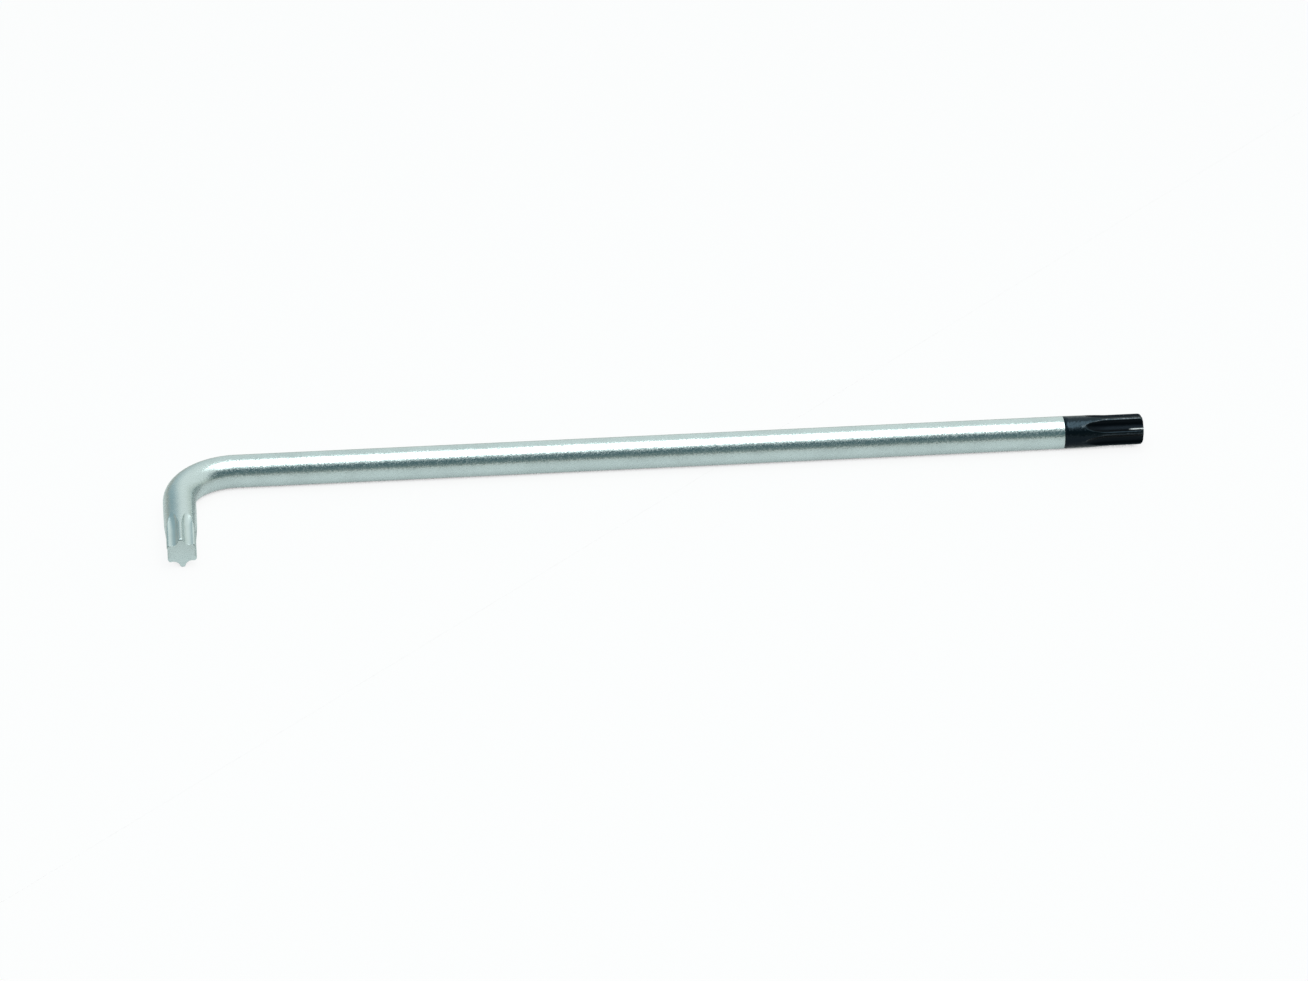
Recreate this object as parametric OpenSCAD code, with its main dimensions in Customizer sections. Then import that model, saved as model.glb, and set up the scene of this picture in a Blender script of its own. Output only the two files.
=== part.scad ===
// Star key: a round bar bent to an L, with a six-lobe star formed on both ends.
// The key lies flat: the long arm runs along +X, the short arm along -Y and +Z is up.
// The origin is at the middle of the key's box, on the surface that the key lies on.

/* [Bar] */
// Diameter of the round bar
bar_d = 8; // [7.9:0.1:9]
// Length of the long arm, measured over the outside of the bend
long_arm_l = 241; // [120:1:320]
// Length of the short arm, measured over the outside of the bend
short_arm_l = 42; // [38:1:80]
// Radius of the bend, on the centre line of the bar
bend_r = 14; // [9:0.5:17]

/* [Star profile] */
// Size across two opposite lobes
lobe_across = 7.82; // [7.6:0.02:7.9]
// Size across two opposite flutes
flute_across = 5.56; // [5.3:0.02:5.9]
// Radius that rounds each lobe
lobe_r = 0.574; // [0.5:0.01:0.65]
// Width of the turned strip that stays on the crest of each lobe
crest_land = 0.3; // [0.2:0.05:0.5]

/* [Short star end] */
// Length of the flutes at full depth
short_flute_l = 7; // [4:0.5:9]
// Radius along which the flutes rise out of the bar
short_run_r = 16; // [8:1:24]
// Chamfer around the end face
short_chamfer = 0.2; // [0.1:0.05:0.5]
// Turn of the star about its arm from a lobe that points straight up, in degrees
short_turn = 2.5; // [-30:0.5:30]

/* [Long star end] */
// Length of the flutes at full depth
long_flute_l = 8.5; // [4:0.5:12]
// Radius along which the flutes rise out of the bar
long_run_r = 16; // [8:1:24]
// Radius that rounds the rim of the end
long_round = 1; // [0.6:0.1:1.6]
// Turn of the star about its arm from a lobe that points straight up, in degrees
long_turn = 14; // [-30:0.5:30]

/* [Black finish] */
// Length of bar that the black finish covers, from the tip
black_l = 19.7; // [16:0.1:40]
// Thickness of the black finish
coat_t = 0.15; // [0.1:0.01:0.25]

/* [Hidden] */
$fn = 96;

// Cuts run past the surface that they open by this much
overrun = 1;
// The lobe circle and the flute circle lap by this much, so that they cross and don't just touch
lap = 0.005;
// Lobes in one turn, and the angle from a lobe to the next flute
lobes = 6;
half_step = 180 / lobes;

bar_r = bar_d / 2;
star_r = lobe_across / 2;
flute_depth = bar_r - flute_across / 2;
// Distance from the crossing of the two centre lines to each end
long_l = long_arm_l - bar_r;
short_l = short_arm_l - bar_r;
// Where the silver finish stops on the long arm, and where each star's flutes reach full depth
finish_z = long_l - black_l;
long_flute_z = long_l - long_flute_l;
short_flute_z = short_l - short_flute_l;

// Centre of a lobe's round, set so that the round meets the crest strip at its edge
crest_half = crest_land / 2;
lobe_c = sqrt(star_r ^ 2 - crest_half ^ 2) - sqrt(lobe_r ^ 2 - crest_half ^ 2);
// Radius of a flute that runs smoothly into the lobes on both sides of it
lobe_reach = lobe_r - lap;
flute_r = (lobe_c ^ 2 + flute_across ^ 2 / 4 - lobe_c * flute_across * cos(half_step) - lobe_reach ^ 2)
    / (2 * lobe_reach + 2 * lobe_c * cos(half_step) - flute_across);
flute_c = flute_across / 2 + flute_r;
// Direction from a lobe's centre to the flute's centre, and the half angle of the flute's mouth
meet_angle = atan2(flute_c - lobe_c * cos(half_step), lobe_c * sin(half_step));
mouth_angle = half_step - asin(crest_half / star_r) / 2;

// Section of what is cut away between two lobes: the flute and the round flank of each lobe.
// The flute faces +X. The inset makes the section of the steel under a finish of that thickness.
module flute_section(inset) {
    flank_r = lobe_r - inset;
    mouth_x = lobe_c * cos(half_step) + flank_r * sin(meet_angle) + lap;
    outer_x = bar_r + overrun;
    slope = tan(mouth_angle);
    difference() {
        union() {
            translate([flute_c, 0])
                circle(r = flute_r + inset);
            polygon([
                [mouth_x, -mouth_x * slope],
                [outer_x, -outer_x * slope],
                [outer_x, outer_x * slope],
                [mouth_x, mouth_x * slope]
            ]);
        }
        for (side = [-1, 1])
            translate([lobe_c * cos(half_step), side * lobe_c * sin(half_step)])
                circle(r = flank_r);
    }
}

// One flute along Z: straight from flute_z upwards, and rising out of the bar below it on an arc
module flute(flute_z, end_z, run_r, inset) {
    axis_x = flute_across / 2 + run_r;
    run_angle = acos(1 - (flute_depth + overrun) / run_r);
    translate([0, 0, flute_z])
        linear_extrude(end_z - flute_z + overrun)
            flute_section(inset);
    translate([axis_x, 0, flute_z])
        rotate([0, 180, 0])
            rotate([90, 0, 0])
                rotate_extrude(angle = run_angle)
                    translate([axis_x, 0])
                        mirror([1, 0])
                            flute_section(inset);
}

// The six flutes of an end, with a lobe turned by the given angle from +X
module flutes(flute_z, end_z, run_r, turn, inset) {
    for (i = [0 : lobes - 1])
        rotate([0, 0, turn + (2 * i + 1) * half_step])
            flute(flute_z, end_z, run_r, inset);
}

// Blank of the short arm along +Z: round from the bend, tapered to the lobes and chamfered at its end
module short_blank() {
    rotate_extrude()
        polygon([
            [0, bend_r],
            [bar_r, bend_r],
            [bar_r, bend_r + bar_r],
            [star_r, short_flute_z],
            [star_r, short_l - short_chamfer],
            [star_r - short_chamfer, short_l],
            [0, short_l]
        ]);
}

// Blank of the long arm along +Z: what the base outline gives, then a tip tapered to the lobes and
// rounded at its rim. The inset makes the steel that lies under a finish of that thickness.
module long_blank(base, inset) {
    end_z = long_l - inset;
    tip = [
        [bar_r - inset, finish_z],
        [star_r - inset, long_flute_z],
        [star_r - inset, end_z],
        [0, end_z]
    ];
    rotate_extrude()
        difference() {
            polygon(concat(base, tip));
            translate([star_r - long_round, long_l - long_round])
                difference() {
                    square(long_round);
                    circle(r = long_round - inset);
                }
        }
}

// The long arm with its star. The base outline comes before the tip, from the centre line outwards.
module long_arm(base, inset) {
    difference() {
        long_blank(base, inset);
        flutes(long_flute_z, long_l, long_run_r, long_turn, inset);
    }
}

module short_arm() {
    difference() {
        short_blank();
        flutes(short_flute_z, short_l, short_run_r, short_turn, 0);
    }
}

// Turns and shifts that carry an arm drawn along +Z to its place, with its local X upright
module on_key() {
    translate([bar_r - long_arm_l / 2, short_arm_l / 2 - bar_r, bar_r])
        children();
}

module on_long_arm() {
    on_key()
        rotate([0, 90, 0])
            rotate([0, 0, 180])
                children();
}

module on_short_arm() {
    on_key()
        rotate([90, 0, 0])
            rotate([0, 0, 90])
                children();
}

// The bent steel bar, plated in satin chrome up to the black tip
module key_bar() {
    shank = [[0, bend_r], [bar_r, bend_r], [bar_r, finish_z]];
    color("silver")
        union() {
            on_long_arm()
                long_arm(shank, coat_t);
            on_key()
                translate([bend_r, -bend_r, 0])
                    rotate_extrude(angle = 90, start = 90)
                        translate([bend_r, 0])
                            circle(r = bar_r);
            on_short_arm()
                short_arm();
        }
}

// The black finish, a closed skin over the long star end
module black_tip_coat() {
    core_z = finish_z - overrun;
    core = [[0, core_z], [bar_r - coat_t, core_z]];
    color("#15181c")
        on_long_arm()
            difference() {
                long_arm([[0, finish_z]], 0);
                long_arm(core, coat_t);
            }
}

key_bar();
black_tip_coat();
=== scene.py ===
# %% [markdown]
# # A star key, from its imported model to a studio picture
#
# The object is an L-shaped star key: one round steel bar, bent once, with a six-lobe star on both
# ends. The bar is finished in satin chrome and the tip of the long arm in gloss black.
#
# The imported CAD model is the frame. It fixes every size and place, so no piece is fitted by eye: each
# one is built where the frame says, in metres, and then stands in for its CAD node.

# %% Load the frame
import math

import bmesh
import bpy
import numpy as np
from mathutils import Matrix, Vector


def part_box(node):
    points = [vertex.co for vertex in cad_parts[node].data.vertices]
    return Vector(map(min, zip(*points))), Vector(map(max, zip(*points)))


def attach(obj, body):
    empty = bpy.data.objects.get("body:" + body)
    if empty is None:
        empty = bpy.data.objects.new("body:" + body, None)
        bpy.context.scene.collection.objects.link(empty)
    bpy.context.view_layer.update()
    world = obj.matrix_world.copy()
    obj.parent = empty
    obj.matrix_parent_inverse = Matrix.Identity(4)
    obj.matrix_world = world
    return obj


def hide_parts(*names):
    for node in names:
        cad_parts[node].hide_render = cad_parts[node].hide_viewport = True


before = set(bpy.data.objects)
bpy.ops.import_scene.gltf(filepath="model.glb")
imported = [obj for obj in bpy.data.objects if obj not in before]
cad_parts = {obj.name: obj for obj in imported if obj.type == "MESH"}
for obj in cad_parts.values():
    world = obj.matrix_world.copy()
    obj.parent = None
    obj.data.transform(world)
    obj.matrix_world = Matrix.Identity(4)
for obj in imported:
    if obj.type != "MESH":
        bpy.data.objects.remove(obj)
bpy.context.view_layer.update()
print("nodes:", sorted(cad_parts))

# %% [markdown]
# ## Camera
#
# The photograph was taken from about 30 degrees above the table, a little to the left of the key, with
# a long lens that hardly lets the far end shrink. These values were found by laying the solids'
# outline over the photograph until both ends matched. A level camera is enough: the slope of the long
# arm in the picture comes from the viewing angle alone, so no roll and no lens shift are needed.

# %% Camera
MM = 0.001
PICTURE_WIDTH = 1308
PIXELS_PER_MM = 4.08631
SENSOR_WIDTH = 36
CAMERA_DISTANCE = 1408 * MM
CAMERA_ELEVATION = 0.52478
CAMERA_YAW = -0.09447
CAMERA_REACH = 100
AIM_POINT = Vector((-0.766, 11.8025, -4.0035)) * MM

bpy.ops.object.select_all(action="DESELECT")
towards_camera = Vector((
    math.sin(CAMERA_YAW) * math.cos(CAMERA_ELEVATION),
    -math.cos(CAMERA_YAW) * math.cos(CAMERA_ELEVATION),
    math.sin(CAMERA_ELEVATION),
))
bpy.ops.object.camera_add(
    location=AIM_POINT + CAMERA_DISTANCE * towards_camera,
    rotation=(-towards_camera).to_track_quat("-Z", "Y").to_euler(),
)
camera = bpy.context.object
camera.name = "camera"
camera.data.sensor_width = SENSOR_WIDTH
camera.data.lens = PIXELS_PER_MM * CAMERA_DISTANCE / MM * SENSOR_WIDTH / PICTURE_WIDTH
camera.data.clip_end = CAMERA_REACH
bpy.context.scene.camera = camera
bpy.context.scene.view_settings.view_transform = "Standard"
print("camera lens:", round(camera.data.lens, 1), "mm")

# %% [markdown]
# ## Shader maths in plain Python
#
# A material is a tree of small nodes, and a sum of three values already takes two of them. This class
# holds one socket of such a tree and teaches Python's own signs to add the Math nodes, so a formula
# in a material can be read as a formula. Every other node comes from `node`, which sets the node's
# own settings first and fills its sockets after that.

# %% One class for all shader nodes
class Wire:
    """One value in a node tree. Sums and products of wires add Math nodes to the tree."""

    def __init__(self, tree, socket=None):
        self.tree = tree
        self.socket = socket

    def node(self, kind, settings=None, inputs=None, output=0):
        made = self.tree.nodes.new(kind)
        for name, value in (settings or {}).items():
            setattr(made, name, value)
        for name, value in (inputs or {}).items():
            if isinstance(value, Wire):
                self.tree.links.new(value.socket, made.inputs[name])
            else:
                made.inputs[name].default_value = value
        return Wire(self.tree, made.outputs[output] if made.outputs else None)

    def math(self, operation, first, second):
        return self.node("ShaderNodeMath", {"operation": operation}, {0: first, 1: second})

    def __add__(self, other):
        return self.math("ADD", self, other)

    def __radd__(self, other):
        return self.math("ADD", other, self)

    def __sub__(self, other):
        return self.math("SUBTRACT", self, other)

    def __rsub__(self, other):
        return self.math("SUBTRACT", other, self)

    def __mul__(self, other):
        return self.math("MULTIPLY", self, other)

    def __rmul__(self, other):
        return self.math("MULTIPLY", other, self)

    def __truediv__(self, other):
        return self.math("DIVIDE", self, other)

    def __rtruediv__(self, other):
        return self.math("DIVIDE", other, self)

    def step(self, low, high):
        """A soft step: 0 up to low, 1 from high on."""
        settings = {"interpolation_type": "SMOOTHSTEP"}
        inputs = {"Value": self, "From Min": low, "From Max": high}
        return self.node("ShaderNodeMapRange", settings, inputs)

    def mix(self, low, high):
        """A colour that goes from low to high as this value goes from 0 to 1."""
        inputs = {"Factor": self, 6: low, 7: high}
        return self.node("ShaderNodeMix", {"data_type": "RGBA"}, inputs, output=2)

    def parts(self):
        """The three parts of a vector."""
        outputs = self.node("ShaderNodeSeparateXYZ", None, {"Vector": self}).socket.node.outputs
        return [Wire(self.tree, output) for output in outputs]


def new_material(name):
    """An empty material, and a bare wire that its nodes start from."""
    material = bpy.data.materials.new(name)
    material.use_nodes = True
    material.node_tree.nodes.clear()
    return material, Wire(material.node_tree)


print("shader class ready")

# %% [markdown]
# ## Floor
#
# The key lies on a plain white table that runs out of the picture on all sides, so the background of
# the photograph is white everywhere. A floor lit by lamps alone would be grey at its far end. So most
# of this floor's white is its own: rays from the camera, and rays that the metal reflects, meet a white
# that glows at strength 1. The rest is a matt surface, which takes the soft shadow under the key.
#
# The photographed bar mirrors the table as well. Close to the bar that table is pale and cool, and it
# turns darker and warmer away from the key, as a table does that is lit from above its middle. That
# falloff of the light is painted: what the metal sees of the floor goes from a near tone to a far tone
# with the length of the ray. A hair of painted contact shadow is left where the bar almost touches the
# table, which the Ambient Occlusion node finds.

# %% Floor
FLOOR_SIZE = 40
FLOOR_WHITE = (1, 1, 1, 1)
FLOOR_PAPER = (0.86, 0.86, 0.86, 1)
FLOOR_PAPER_FAR = (0.44, 0.41, 0.36, 1)
FLOOR_NEAR = (0.79, 0.90, 0.885, 1)
FLOOR_FAR = (0.343, 0.353, 0.307, 1)
FLOOR_CONTACT_SHADOW = (0.03, 0.03, 0.035, 1)
SEEN_SHADOW_SHARE = 0.10
MIRRORED_SHADOW_SHARE = 0.46
NEAR_REACH = 38 * MM
GAP_REACH = 3 * MM
GAP_OPENNESS = (0.09, 0.14)
GAP_SAMPLES = 8


def floor_material():
    material, wire = new_material("white_table")
    path = wire.node("ShaderNodeLightPath").socket.node.outputs
    names = ["Is Camera Ray", "Is Glossy Ray", "Is Transmission Ray", "Ray Length"]
    seen, mirrored, through, length = [Wire(wire.tree, path[name]) for name in names]
    # Painted falloff of the light on the table: what the metal mirrors of it darkens with the ray's
    # length.
    nearness = 1 / (1 + length / NEAR_REACH)
    tone = 1 - mirrored * (1 - nearness)
    share = (seen + through) * (1 - SEEN_SHADOW_SHARE) + mirrored * (1 - MIRRORED_SHADOW_SHARE)
    paper = tone.mix(FLOOR_PAPER_FAR, FLOOR_PAPER)
    matt = wire.node("ShaderNodeBsdfDiffuse", None, {"Color": paper})
    openness = wire.node(
        "ShaderNodeAmbientOcclusion", {"samples": GAP_SAMPLES}, {"Distance": GAP_REACH}, output="AO"
    )
    white = mirrored.mix(FLOOR_WHITE, nearness.mix(FLOOR_FAR, FLOOR_NEAR))
    # Painted contact shadow where the bar almost touches the table.
    white = openness.step(*GAP_OPENNESS).mix(FLOOR_CONTACT_SHADOW, white)
    glow = wire.node("ShaderNodeEmission", None, {"Color": white})
    surface = wire.node("ShaderNodeMixShader", None, {0: share, 1: matt, 2: glow})
    wire.node("ShaderNodeOutputMaterial", None, {"Surface": surface})
    return material


bpy.ops.object.select_all(action="DESELECT")
bpy.ops.mesh.primitive_plane_add(size=FLOOR_SIZE)
floor = bpy.context.object
floor.name = "white_table"
floor.data.materials.append(floor_material())
print("floor:", FLOOR_SIZE, "m square")

# %% [markdown]
# ## Light
#
# A polished bar shows the room around it. The stripes along the photographed bar tell what that room
# was: the white stripe is a large soft lamp overhead, the dark stripe below it is the dim side of the
# room where the camera stood, and the grey stripes at the top and bottom edge are the pale back wall
# and the table. The short arm is darker and bluer on its left, so the room is dimmer on that side, and
# its right edge is a little darker too. So one wide lamp hangs over the key, and the world is a pale
# tent with a dim front, a dim left side and a duller low wall on the right. The lamp has a trace of
# blue-green, as the pale stripes in the photograph have.

# %% Soft lamp overhead
LAMP_HEIGHT = 0.9
LAMP_LENGTH = 1.1
LAMP_FRONT = -0.58
LAMP_BACK = 0.34
LAMP_WATTS = 7.15
LAMP_COLOUR = (0.906, 1.0, 0.992)
SOFT_ENDS = 0.35
SOFT_SIDES = 0.12


def fade_to_edges(light):
    """Lets a lamp fade towards its edges, as the cloth of a real soft lamp does."""
    light.use_nodes = True
    light.node_tree.nodes.clear()
    wire = Wire(light.node_tree)
    along, across, _ = wire.node("ShaderNodeNewGeometry", output="Parametric").parts()
    ends = along.step(0, SOFT_ENDS) * (1 - along).step(0, SOFT_ENDS)
    sides = across.step(0, SOFT_SIDES) * (1 - across).step(0, SOFT_SIDES)
    glow = wire.node("ShaderNodeEmission", None, {"Strength": ends * sides})
    wire.node("ShaderNodeOutputLight", None, {"Surface": glow})


bpy.ops.object.select_all(action="DESELECT")
bpy.ops.object.light_add(type="AREA", location=(0, (LAMP_FRONT + LAMP_BACK) / 2, LAMP_HEIGHT))
lamp = bpy.context.object
lamp.name = "soft_lamp_overhead"
lamp.data.shape = "RECTANGLE"
lamp.data.size = LAMP_LENGTH
lamp.data.size_y = LAMP_BACK - LAMP_FRONT
lamp.data.energy = LAMP_WATTS
lamp.data.color = LAMP_COLOUR
fade_to_edges(lamp.data)
print("lamp:", lamp.data.size, "by", round(lamp.data.size_y, 2), "m at", LAMP_HEIGHT, "m")

# %% [markdown]
# ## Tent
#
# The world has no walls, only a colour for each direction, so each wall is a soft step in one part of
# the direction: how far it points to the right, to the back or to the top. Each pair below says where
# such a step starts and where it is complete.

# %% Pale tent with a dim front and left side
TENT_WHITE = (0.83, 0.93, 0.905, 1)
TENT_LOW = (0.83, 0.91, 0.88, 1)
TENT_RIGHT = (0.60, 0.69, 0.63, 1)
DIM_LEFT = (0.335, 0.478, 0.512, 1)
DIM_LEFT_LOW = (0.43, 0.482, 0.444, 1)
DIM_FRONT = (0.10, 0.172, 0.186, 1)
DIM_FRONT_LOW = (0.19, 0.26, 0.25, 1)
TO_RIGHT_WALL = (0.1, 0.45)
TO_LEFT_WALL = (-0.5, 0.2)
TO_FRONT_WALL = (0.1, 0.5)
ABOVE_WALLS = (0.0, 0.45)
ABOVE_LEFT = (0.0, 0.25)
ABOVE_FRONT = (0.05, 0.45)
INTO_LAMP = (0.60, 0.85)


def tent_world():
    world = bpy.data.worlds.new("tent")
    world.use_nodes = True
    world.node_tree.nodes.clear()
    wire = Wire(world.node_tree)
    to_right, to_back, to_top = wire.node("ShaderNodeTexCoord").parts()
    low = to_right.step(*TO_RIGHT_WALL).mix(TENT_LOW, TENT_RIGHT)
    walls = to_top.step(*ABOVE_WALLS).mix(low, TENT_WHITE)
    left = to_top.step(*ABOVE_LEFT).mix(DIM_LEFT_LOW, DIM_LEFT)
    walls = to_right.step(*TO_LEFT_WALL).mix(left, walls)
    front = to_top.step(*ABOVE_FRONT).mix(DIM_FRONT_LOW, DIM_FRONT)
    in_front = (0 - to_back).step(*TO_FRONT_WALL) * (1 - to_top.step(*INTO_LAMP))
    light = wire.node("ShaderNodeBackground", None, {"Color": in_front.mix(walls, front)})
    wire.node("ShaderNodeOutputWorld", None, {"Surface": light})
    return world


bpy.context.scene.world = tent_world()
print("world:", bpy.context.scene.world.name)

# %% [markdown]
# ## Star outline
#
# A star key's end has six round lobes with hollow flutes between them. Its outline is all arcs: a small
# arc rounds each lobe, and a larger one hollows out each flute and runs smoothly into the lobes beside
# it. The flutes end in the bar on a long arc, the run-out, where the forming tool lifted off the steel.
#
# Cutting flutes with a Boolean would leave knife-sharp edges and ragged faces. Here a round end with a
# fine grid of faces is pressed in instead, and this formula says how far: it gives the radius of the
# finished end at any angle and any distance from the tip.

# %% Sizes of the two ends
key_low, key_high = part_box("key_bar")
tip_low, tip_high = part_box("black_tip_coat")
black_length = tip_high.x - tip_low.x
BAR_R = (key_high.z - key_low.z) / 2
BEND_R = 14 * MM
COAT_T = 0.15 * MM

LOBE_ACROSS = 7.82 * MM
FLUTE_ACROSS = 5.56 * MM
LOBE_R = 0.574 * MM
CREST_LAND = 0.3 * MM
RUN_R = 16 * MM
LOBE_STEP = math.radians(60)
HALF_STEP = LOBE_STEP / 2
STAR_R = LOBE_ACROSS / 2
FLUTE_DEPTH = STAR_R - FLUTE_ACROSS / 2
RUN_LENGTH = math.sqrt(RUN_R**2 - (RUN_R - BAR_R + FLUTE_ACROSS / 2) ** 2)

SHORT_FLUTE_L = 7 * MM
SHORT_TURN = math.radians(2.5)
SHORT_ROUND = 0.42 * MM
LONG_FLUTE_L = 8.5 * MM
LONG_TURN = math.radians(14)
LONG_ROUND = 1 * MM
print("bar radius:", round(BAR_R / MM, 2), "mm, black length:", round(black_length / MM, 2), "mm")
print("flutes run out over", round(RUN_LENGTH / MM, 2), "mm")

# %% Outline of one flute, from its middle to the next lobe
OUTLINE_POINTS = 400


def flute_outline(inset):
    """Points of half a flute that faces +X. The inset is for steel under a finish of that thickness."""
    half_land = CREST_LAND / 2
    floor_r = FLUTE_ACROSS / 2
    lobe_c = math.sqrt(STAR_R**2 - half_land**2) - math.sqrt(LOBE_R**2 - half_land**2)
    lobe_x = lobe_c * math.cos(HALF_STEP)
    lobe_y = lobe_c * math.sin(HALF_STEP)
    reach = lobe_c**2 + floor_r**2 - 2 * lobe_x * floor_r - LOBE_R**2
    flute_r = reach / 2 / (LOBE_R + lobe_x - floor_r)
    flute_c = floor_r + flute_r
    share = (LOBE_R - inset) / (LOBE_R + flute_r)
    meeting = math.atan2(lobe_y * (1 - share), lobe_x + (flute_c - lobe_x) * share)
    angle = np.linspace(0, HALF_STEP, OUTLINE_POINTS)
    off_lobe = HALF_STEP - angle
    flute_chord = np.maximum((flute_r + inset) ** 2 - (flute_c * np.sin(angle)) ** 2, 0)
    lobe_chord = np.maximum((LOBE_R - inset) ** 2 - (lobe_c * np.sin(off_lobe)) ** 2, 0)
    in_flute = flute_c * np.cos(angle) - np.sqrt(flute_chord)
    on_lobe = lobe_c * np.cos(off_lobe) + np.sqrt(lobe_chord)
    radius = np.where(angle < meeting, in_flute, on_lobe)
    return radius * np.cos(angle), radius * np.sin(angle)


def flute_radius(off_flute, run, outline):
    """Radius of a flute at angles from its middle, at a distance run down its run-out."""
    across, aside = outline
    pivot = FLUTE_ACROSS / 2 + RUN_R
    lifted = pivot - np.sqrt((pivot - across) ** 2 - run**2)
    return np.interp(off_flute, np.arctan2(aside, lifted), np.hypot(lifted, aside), right=2 * BAR_R)


middle_of_flute = flute_radius(0.0, 0.0, flute_outline(0.0))
print("radius in the middle of a flute:", round(float(middle_of_flute) / MM, 3), "mm")

# %% [markdown]
# ## Rings and pulls
#
# The bar is drawn steel, so it is modelled the way it is made: one round ring of points is pulled along
# the arm, turned through the bend and pulled on. A Curve with a round bevel would bend as well, but its
# rings would be evenly spaced. `pull` extrudes the selected ring in steps of any length, which leaves
# rings close together where the star needs them and far apart on the plain arm.

# %% Rings and pulls
RING_POINTS = 360
DOUBLES_APART = MM / 10000


def face_outwards():
    """Merges doubles of the edited piece, turns its faces outwards and leaves edit mode."""
    bpy.ops.mesh.select_all(action="SELECT")
    bpy.ops.mesh.remove_doubles(threshold=DOUBLES_APART)
    bpy.ops.mesh.normals_make_consistent(inside=False)
    bpy.ops.object.mode_set(mode="OBJECT")


def start_ring(name, place):
    """A new object in edit mode: one ring around the long arm at this place, all selected."""
    bpy.ops.object.select_all(action="DESELECT")
    bpy.ops.mesh.primitive_circle_add(
        vertices=RING_POINTS, radius=BAR_R, location=place, rotation=(0, math.pi / 2, 0)
    )
    piece = bpy.context.object
    piece.name = name
    piece.data.name = name
    bpy.ops.object.transform_apply(location=True, rotation=True, scale=True)
    bpy.ops.object.mode_set(mode="EDIT")
    bpy.ops.mesh.select_mode(type="VERT")
    bpy.ops.mesh.select_all(action="SELECT")
    return piece


def pull(direction, *lengths):
    """Extrudes the selected ring along a direction, once for each length."""
    for length in lengths:
        bpy.ops.mesh.extrude_region_move(TRANSFORM_OT_translate={"value": Vector(direction) * length})


def even(length, count):
    """A length as equal steps."""
    return [length / count] * count


def rounded(radius, count):
    """Steps over a rounded rim, towards the tip, each through the same angle."""
    heights = radius * np.sin(np.linspace(0, math.pi / 2, count + 1))
    return list(np.diff(heights))


point_gap = 2 * math.pi * BAR_R / RING_POINTS
print("a ring has", RING_POINTS, "points, one every", round(point_gap / MM, 3), "mm")

# %% [markdown]
# ## The bar
#
# The real bar starts as a straight length of drawn steel. Both stars are formed on its ends, then it is
# bent and plated. The ring starts at the hidden end of the long arm, under the black finish, where the
# steel is thinner by the thickness of that finish, and ends at the star on the short arm. The bend is
# one Spin of the ring about the middle of the bend. Each length is pulled in a number of steps: few
# where the steel is hidden or plain, and many along a run-out, where the outline changes fastest.

# %% Pull the long arm, turn the bend, pull the short arm
LONG_OUT = Vector((1, 0, 0))
SHORT_OUT = Vector((0, -1, 0))
FINISH_STEP = 0.02 * MM
HIDDEN_RIM_STEPS = 5
HIDDEN_FLUTE_STEPS = 3
HIDDEN_RUN_STEPS = 16
HIDDEN_PLAIN_STEPS = 2
SHANK_STEPS = 12
BEND_STEPS = 48
PLAIN_SHORT_STEPS = 5
RUN_STEPS = 50
FLUTE_STEPS = 8
SHORT_RIM_STEPS = 8

corner = Vector((key_low.x + BAR_R, key_high.y - BAR_R, BAR_R))
long_tip = Vector((tip_high.x, corner.y, BAR_R))
short_tip = Vector((corner.x, key_low.y, BAR_R))
core_tip = long_tip - COAT_T * LONG_OUT
plain_black = black_length - LONG_FLUTE_L - RUN_LENGTH - FINISH_STEP
shank_length = tip_low.x - corner.x - BEND_R
plain_short = corner.y - BEND_R - short_tip.y - SHORT_FLUTE_L - RUN_LENGTH

bar = start_ring("satin_bar", core_tip)
pull(-LONG_OUT, *reversed(rounded(LONG_ROUND - COAT_T, HIDDEN_RIM_STEPS)))
pull(-LONG_OUT, *even(LONG_FLUTE_L - LONG_ROUND, HIDDEN_FLUTE_STEPS))
pull(-LONG_OUT, *even(RUN_LENGTH, HIDDEN_RUN_STEPS), *even(plain_black, HIDDEN_PLAIN_STEPS))
pull(-LONG_OUT, FINISH_STEP, *even(shank_length, SHANK_STEPS))
bpy.ops.mesh.spin(
    steps=BEND_STEPS,
    angle=-math.pi / 2,
    center=corner + Vector((BEND_R, -BEND_R, 0)),
    axis=(0, 0, 1),
)
pull(SHORT_OUT, *even(plain_short, PLAIN_SHORT_STEPS), *even(RUN_LENGTH, RUN_STEPS))
pull(SHORT_OUT, *even(SHORT_FLUTE_L - SHORT_ROUND, FLUTE_STEPS))
pull(SHORT_OUT, *rounded(SHORT_ROUND, SHORT_RIM_STEPS))
face_outwards()
print("bar:", len(bar.data.vertices), "points")

# %% [markdown]
# ## Blanks of the two ends
#
# Before its flutes are formed, each end is turned to a blank: it tapers from the bar to the size of the
# lobes, and its rim is rounded, more on the long arm than on the short one. A blank is round, so one
# radius for each distance from the tip describes it.

# %% Blanks of the two ends
def rim(from_tip, radius):
    """How far a rim rounded to this radius draws back, at distances from the tip."""
    into_rim = radius - np.clip(from_tip, 0, radius)
    return radius - np.sqrt(radius**2 - into_rim**2)


def long_blank(from_tip, inset):
    """Radius of the long arm's blank. The inset is for steel under a finish of that thickness."""
    taper = np.interp(from_tip, [LONG_FLUTE_L, black_length], [STAR_R, BAR_R]) - inset
    return taper - rim(from_tip - inset, LONG_ROUND - inset)


def short_blank(from_tip):
    """Radius of the short arm's blank."""
    bend_end = corner.y - BEND_R - BAR_R - short_tip.y
    return np.interp(from_tip, [SHORT_FLUTE_L, bend_end], [STAR_R, BAR_R]) - rim(from_tip, SHORT_ROUND)


end_faces = [round(float(blank) / MM, 2) for blank in (long_blank(0.0, 0.0), short_blank(0.0))]
print("radius of the end faces before the flutes:", end_faces, "mm")

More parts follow.
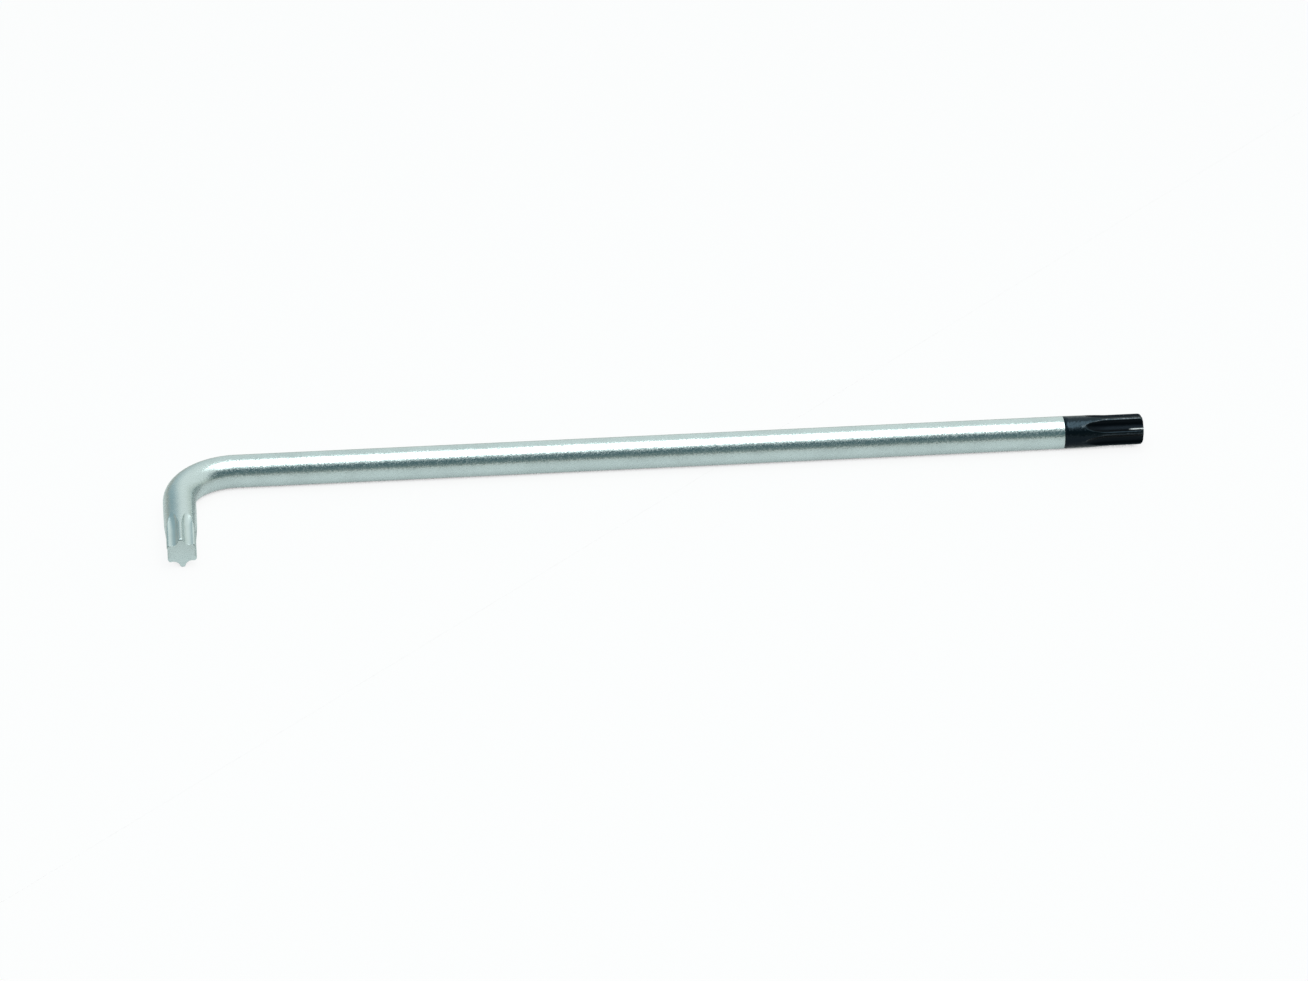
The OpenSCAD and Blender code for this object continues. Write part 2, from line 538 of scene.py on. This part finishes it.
# %% [markdown]
# ## Radius of a star end
#
# Each point of a pulled ring knows its distance from the tip and its angle around the arm. The finished
# end is there the smaller of two radii, the blank's and the flute's. A real edge between them is never
# quite sharp, because it has been tumbled and plated, so the two are blended where they cross.

# %% Radius of a star end at every point
EDGE_SOFTNESS = 0.07 * MM
KEPT_DECIMALS = 7


def seen_from_tip(piece, tip, outwards, aside):
    """Distance of each point from the tip, and its angle from upright, turned towards one side."""
    places = np.zeros(len(piece.data.vertices) * 3)
    piece.data.vertices.foreach_get("co", places)
    offset = places.reshape(-1, 3) - np.array(tip)
    angle = np.arctan2(offset @ np.array(aside), offset[:, 2])
    return np.round(-offset @ np.array(outwards), KEPT_DECIMALS), angle


def soft_least(first, second):
    """The smaller of two radii, with the edge where they cross rounded off."""
    share = np.clip(0.5 + (second - first) / EDGE_SOFTNESS / 2, 0, 1)
    return second + (first - second) * share - EDGE_SOFTNESS * share * (1 - share)


def star_end(from_tip, angle, blank, flute_l, inset):
    """Radius of a star end at each point, and how far its flutes lie below the blank."""
    off_lobe = np.abs((angle + HALF_STEP) % LOBE_STEP - HALF_STEP)
    outline = flute_outline(inset)
    flute = np.full(len(from_tip), 2 * BAR_R)
    for distance in np.unique(from_tip[from_tip < flute_l + RUN_LENGTH]):
        ring = from_tip == distance
        flute[ring] = flute_radius(HALF_STEP - off_lobe[ring], max(0.0, distance - flute_l), outline)
    return soft_least(blank, flute), blank - flute


from_long, long_angle = seen_from_tip(bar, long_tip, LONG_OUT, SHORT_OUT)
core_blank = long_blank(from_long, COAT_T)
core, _ = star_end(from_long, long_angle - LONG_TURN, core_blank, LONG_FLUTE_L, COAT_T)
core = np.where(from_long < black_length - FINISH_STEP / 2, core, BAR_R)
from_short, short_angle = seen_from_tip(bar, short_tip, SHORT_OUT, -LONG_OUT)
star, depth = star_end(
    from_short, short_angle - SHORT_TURN, short_blank(from_short), SHORT_FLUTE_L, 0.0
)
print("deepest flute of the bar:", round(float(depth.max()) / MM, 3), "mm")

# %% [markdown]
# ## Both stars of the bar
#
# The flutes are pressed into the bar in one go: every point is weighed by how far it has to move, and a
# Displace modifier moves it inwards along its normal by that weight. The finish is smoother in the
# flutes than on the plain bar, so how deep each point lies in a flute is kept on the mesh as an
# attribute, for the material to read.

# %% Press the stars into the bar
RIM_SOFTNESS = 0.08 * MM
END_FACE_SKIN = MM / 100


def press(piece, radius):
    """Presses a piece's round surface in to these radii, one for each point."""
    inwards = BAR_R - radius
    deepest = float(inwards.max())
    group = piece.vertex_groups.new(name="pressed")
    for index in np.flatnonzero(inwards > 0):
        group.add([int(index)], float(inwards[index]) / deepest, "REPLACE")
    modifier = piece.modifiers.new("press", "DISPLACE")
    modifier.vertex_group = group.name
    modifier.mid_level = 0
    modifier.strength = -deepest
    bpy.ops.object.modifier_apply(modifier=modifier.name)
    piece.vertex_groups.clear()


def keep_attribute(piece, name, values):
    """Stores one number for each point, for the piece's material to read."""
    attribute = piece.data.attributes.new(name, "FLOAT", "POINT")
    attribute.data.foreach_set("value", values.astype(np.float32))


def groove_share(depth, from_tip):
    """How far down in a flute each point lies, from 0 to 1. The end face stays plain."""
    return np.maximum(depth, 0) / FLUTE_DEPTH * (from_tip > END_FACE_SKIN)


press(bar, np.minimum(core, star - rim(from_short, RIM_SOFTNESS)))
keep_attribute(bar, "groove", groove_share(depth, from_short))
print("points of the bar that lie in a flute:", int((depth > 0).sum()))

# %% [markdown]
# ## Ends of the bar
#
# Both ends of a real key are flat, sheared or sawn square. A single face with 360 corners would shade
# badly, so each end gets two rings inside its rim, and then a point in its middle.

# %% Close both ends of the bar
SMOOTH_ANGLE = math.radians(35)
END_FACE_RINGS = (0.97, 0.4)
ON_PLANE = MM / 1000


def select_ring(piece, place, outwards):
    """Selects the points that lie on the plane through a place, square to a direction."""
    bpy.ops.object.mode_set(mode="EDIT")
    bpy.ops.mesh.select_all(action="DESELECT")
    shape = bmesh.from_edit_mesh(piece.data)
    for vertex in shape.verts:
        vertex.select = abs((vertex.co - Vector(place)).dot(Vector(outwards))) < ON_PLANE
    shape.select_flush(True)
    bmesh.update_edit_mesh(piece.data)


def close_end(piece, tip, outwards):
    """Closes an end with a flat face."""
    select_ring(piece, tip, outwards)
    for size in END_FACE_RINGS:
        bpy.ops.mesh.extrude_region_move()
        bpy.ops.transform.resize(value=(size, size, size), center_override=tip)
    bpy.ops.mesh.merge(type="CENTER")
    face_outwards()


close_end(bar, core_tip, LONG_OUT)
close_end(bar, short_tip, SHORT_OUT)
bpy.ops.object.shade_smooth_by_angle(angle=SMOOTH_ANGLE)
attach(bar, "root")
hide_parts("key_bar")
print("bar:", len(bar.data.polygons), "faces")

# %% [markdown]
# ## The black tip
#
# The last 20 mm of the long arm are finished in black, in a layer that follows the star. It is made as
# the bar was, from a ring at the edge of the finish that is pulled to the tip.

# %% Pull the black tip
PLAIN_BLACK_STEPS = 4
LONG_RIM_STEPS = 12

tip = start_ring("black_tip", long_tip - black_length * LONG_OUT)
pull(LONG_OUT, *even(plain_black + FINISH_STEP, PLAIN_BLACK_STEPS), *even(RUN_LENGTH, RUN_STEPS))
pull(LONG_OUT, *even(LONG_FLUTE_L - LONG_ROUND, FLUTE_STEPS), *rounded(LONG_ROUND, LONG_RIM_STEPS))
face_outwards()
print("black tip:", len(tip.data.vertices), "points")

# %% [markdown]
# ## Its star, its worn edges and its painted highlights
#
# The photographed tip looks a little used. A light line runs along the upper edge of the flute that
# faces the camera: partly wear, where the finish is thin, and partly a painted highlight. A short
# bright mark near the tip is a painted glint, made as bare steel. Both follow the star, so they are
# worked out from the same angles and depths as the star and kept as attributes. The other edges have
# a quarter of that line.

# %% Press the star of the tip and mark its worn edges and painted highlights
GLINT_TURN = math.radians(16)
GLINT_WIDTH = math.radians(2.4)
GLINT_LENGTH = 3.0 * MM
EDGE_DEPTH = -0.02 * MM
EDGE_WIDTH = 0.07 * MM
OTHER_EDGES = 0.25


def bell(values, middle, width):
    """A smooth hump: 1 in the middle, and near 0 two widths away from it."""
    return np.exp(-(((values - middle) / width) ** 2))


from_long, long_angle = seen_from_tip(tip, long_tip, LONG_OUT, SHORT_OUT)
star_angle = long_angle - LONG_TURN
star, depth = star_end(from_long, star_angle, long_blank(from_long, 0.0), LONG_FLUTE_L, 0.0)
off_middle = star_angle % LOBE_STEP - HALF_STEP
in_first_flute = np.abs(star_angle - HALF_STEP) < HALF_STEP
near_tip = (from_long > END_FACE_SKIN) & (from_long < GLINT_LENGTH)
# Painted glint: a strip of bright steel near the tip, only in the flute that faces the camera.
painted_glint = bell(off_middle, GLINT_TURN, GLINT_WIDTH) * in_first_flute * near_tip
# A light line on the upper flute edges, partly wear and partly painted highlight, full in the first
# flute.
edge = bell(depth, EDGE_DEPTH, EDGE_WIDTH) * (off_middle < 0)
edge = edge * np.where(in_first_flute, 1.0, OTHER_EDGES)
press(tip, star)
keep_attribute(tip, "groove", groove_share(depth, from_long))
keep_attribute(tip, "edge", edge)
keep_attribute(tip, "painted_glint", painted_glint)
close_end(tip, long_tip, LONG_OUT)
bpy.ops.object.shade_smooth_by_angle(angle=SMOOTH_ANGLE)
glint_points, edge_line_points = [int((wear > 0.5).sum()) for wear in (painted_glint, edge)]
print("points in the rub mark:", glint_points, "and on worn edges:", edge_line_points)

# %% [markdown]
# ## Thickness of the black finish
#
# So far the tip is a surface, open where the finish starts. The Solidify modifier gives it its
# thickness on the inside, so its outside keeps the real size, and the result is a thin closed skin.

# %% Give the finish its thickness
skin = tip.modifiers.new("skin", "SOLIDIFY")
skin.thickness = COAT_T
skin.offset = -1
bpy.ops.object.modifier_apply(modifier="skin")
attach(tip, "root")
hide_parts("black_tip_coat")
print("black tip with its inside:", len(tip.data.polygons), "faces")

# %% [markdown]
# ## Grain of the metal
#
# The steel is blasted before it is finished, which leaves thousands of shallow pits. A bump alone is
# smoothed away in a small picture. So the metal is also divided into small cells, each with a random
# colour of its own, and a material can use that colour to tilt every cell a little another way or to
# give it a gloss of its own. In the photograph such cells glitter in the dark stripe of the bar.

# %% Grain of the metal
PIT_SIZE = 0.42 * MM
PIT_DEPTH = 0.03 * MM
PIT_ROUGHNESS = 0.6
CELL_SIZE = 0.27 * MM
MIDDLE_GREY = (0.5, 0.5, 0.5)


def noise(wire, place, size, detail, roughness=0.5):
    """A soft noise with spots of about this size."""
    inputs = {"Vector": place, "Scale": 1 / size, "Detail": detail, "Roughness": roughness}
    return wire.node("ShaderNodeTexNoise", None, inputs)


def blasted_pits(wire, place):
    """The depth of the pits, around 0.5."""
    return noise(wire, place, PIT_SIZE, detail=2.0, roughness=PIT_ROUGHNESS)


def small_cells(wire, place):
    """The random colour of the cell at each place."""
    inputs = {"Vector": place, "Scale": 1 / CELL_SIZE}
    return wire.node("ShaderNodeTexVoronoi", None, inputs, output="Color")


def tilted(wire, cells, tilt):
    """The normal of the surface, tilted a little another way in every cell."""
    lean = wire.node("ShaderNodeVectorMath", {"operation": "SUBTRACT"}, {0: cells, 1: MIDDLE_GREY})
    lean = wire.node("ShaderNodeVectorMath", {"operation": "SCALE"}, {0: lean, "Scale": tilt})
    normal = wire.node("ShaderNodeNewGeometry", output="Normal")
    normal = wire.node("ShaderNodeVectorMath", {"operation": "ADD"}, {0: normal, 1: lean})
    return wire.node("ShaderNodeVectorMath", {"operation": "NORMALIZE"}, {0: normal})


def kept(wire, name):
    """An attribute that was kept on the mesh."""
    return wire.node("ShaderNodeAttribute", {"attribute_name": name}, output="Fac")


def finish_metal(wire, colour, roughness, height, normal):
    """Ends a material in a metal with this colour, gloss and grain."""
    relief = {"Distance": PIT_DEPTH, "Height": height, "Normal": normal}
    bump = wire.node("ShaderNodeBump", None, relief)
    inputs = {"Base Color": colour, "Metallic": 1.0, "Roughness": roughness, "Normal": bump}
    surface = wire.node("ShaderNodeBsdfPrincipled", None, inputs)
    wire.node("ShaderNodeOutputMaterial", None, {"Surface": surface})


print("pits of", round(PIT_SIZE / MM, 2), "mm and cells of", round(CELL_SIZE / MM, 2), "mm")

# %% [markdown]
# ## Satin chrome
#
# Satin chrome is a mirror with a fine grain, because the thin plating follows the blasted steel. Each
# cell has its own roughness: a rough one catches some of the lamp even where the bar mirrors the dim
# side of the room, and a smooth one stays dark. Large soft clouds make the plating a little duller here
# and there. The flutes were pressed against a polished tool, so they have less grain and an even
# gloss, and the end face has the fine parallel lines of the saw instead of pits.

# %% Satin chrome
CHROME = (0.66, 0.72, 0.72, 1)
CHROME_DULL = (0.60, 0.655, 0.655, 1)
CHROME_ROUGHNESS = 0.22
DULL_ROUGHNESS = 0.05
CELL_ROUGHNESS = 0.32
CELL_TILT = 0.08
CLOUD_SIZE = 7 * MM
CLOUD_TONES = (0.35, 0.7)
CLOUD_SHARE = 0.7
CELL_SHARE = 0.3
FLUTE_STARTS = (0.02, 0.3)
FLUTE_ROUGHNESS = 0.10
FLUTE_LEVELS_PITS = 0.7
FLUTE_LEVELS_CELLS = 0.8
END_FACE_DEPTHS = (0.01 * MM, 0.03 * MM)
CUT_SIZE = 0.22 * MM
CUT_STRETCH = (0.04, 0, 1)


def satin_chrome():
    material, wire = new_material("satin_chrome")
    place = wire.node("ShaderNodeTexCoord", output="Object")
    pits = blasted_pits(wire, place)
    clouds = noise(wire, place, CLOUD_SIZE, detail=3.0)
    stretch = wire.node("ShaderNodeVectorMath", {"operation": "MULTIPLY"}, {0: place, 1: CUT_STRETCH})
    cuts = noise(wire, stretch, CUT_SIZE, detail=2.0)
    along_arm = place.parts()[1]
    end_face = 1 - along_arm.step(*[short_tip.y + depth for depth in END_FACE_DEPTHS])
    in_flute = kept(wire, "groove").step(*FLUTE_STARTS)
    cells = small_cells(wire, place)
    one_cell = cells.parts()[0]
    dull = CLOUD_SHARE * clouds.step(*CLOUD_TONES) + CELL_SHARE * one_cell * (1 - in_flute)
    roughness = CHROME_ROUGHNESS + DULL_ROUGHNESS * (dull - 0.5)
    roughness = roughness + CELL_ROUGHNESS * (one_cell - 0.5) * (1 - in_flute)
    roughness = roughness + FLUTE_ROUGHNESS * in_flute
    grain = (pits - 0.5) * (1 - FLUTE_LEVELS_PITS * in_flute) * (1 - end_face) + cuts * end_face
    tilt = CELL_TILT * (1 - FLUTE_LEVELS_CELLS * in_flute) * (1 - end_face)
    colour = dull.mix(CHROME, CHROME_DULL)
    finish_metal(wire, colour, roughness, grain, tilted(wire, cells, tilt))
    return material


bar.data.materials.append(satin_chrome())
print("bar finish:", bar.data.materials[0].name)

# %% [markdown]
# ## Gloss black
#
# The black finish is a thin layer over the same blasted steel, so it is smoother than the chrome but
# still shows a fine speckle in its highlight. It has a trace of blue. A plain black paint would show
# its own grey in full light, while this finish only mirrors, weakly, so it is made as a metal with a
# very dark colour. Its colour is darker in the flutes and on the underside: painted shade. The light
# line on the upper flute edges is partly wear and partly a painted highlight, and the glint near the
# tip is a painted highlight made as bare steel; both are broken up by the pits.

# %% Gloss black
BLACK = (0.0256, 0.037, 0.047, 1)
BLACK_PAINTED_UNDERSIDE_SHADE = (0.0103, 0.015, 0.02, 1)
BLACK_PAINTED_FLUTE_SHADE = (0.0077, 0.0105, 0.014, 1)
BLACK_WEAR_AND_PAINTED_HIGHLIGHT = (0.154, 0.163, 0.176, 1)
PAINTED_GLINT_STEEL = (0.92, 0.93, 0.95, 1)
BLACK_ROUGHNESS = 0.18
BLACK_PIT_ROUGHNESS = 0.1
BLACK_FLUTE_ROUGHNESS = 0.2
BLACK_TILT = 0.15
BLACK_FLUTE_STARTS = (0.03, 0.2)
UNDERSIDE_HEIGHTS = (3.5 * MM, 7 * MM)
EDGE_LINE_PITS = (0.35, 0.65)
GLINT_PITS = (0.25, 0.5)


def gloss_black():
    material, wire = new_material("gloss_black")
    place = wire.node("ShaderNodeTexCoord", output="Object")
    pits = blasted_pits(wire, place)
    groove, edge, painted_glint = [kept(wire, name) for name in ("groove", "edge", "painted_glint")]
    in_flute = groove.step(*BLACK_FLUTE_STARTS)
    height = place.parts()[2]
    # Painted shade: darker on the underside.
    colour = height.step(*UNDERSIDE_HEIGHTS).mix(BLACK_PAINTED_UNDERSIDE_SHADE, BLACK)
    # Painted shade: darker in the flutes.
    colour = in_flute.mix(colour, BLACK_PAINTED_FLUTE_SHADE)
    # Partly wear, partly painted highlight: a grey line on the upper flute edges.
    colour = (edge * pits.step(*EDGE_LINE_PITS)).mix(colour, BLACK_WEAR_AND_PAINTED_HIGHLIGHT)
    # Painted highlight: a glint of bare steel near the tip.
    colour = (painted_glint * pits.step(*GLINT_PITS)).mix(colour, PAINTED_GLINT_STEEL)
    roughness = BLACK_ROUGHNESS + BLACK_PIT_ROUGHNESS * (pits - 0.5)
    roughness = roughness + BLACK_FLUTE_ROUGHNESS * in_flute * (1 - painted_glint)
    tilt = BLACK_TILT * (1 - FLUTE_LEVELS_CELLS * in_flute)
    finish_metal(wire, colour, roughness, pits, tilted(wire, small_cells(wire, place), tilt))
    return material


tip.data.materials.append(gloss_black())
print("tip finish:", tip.data.materials[0].name)
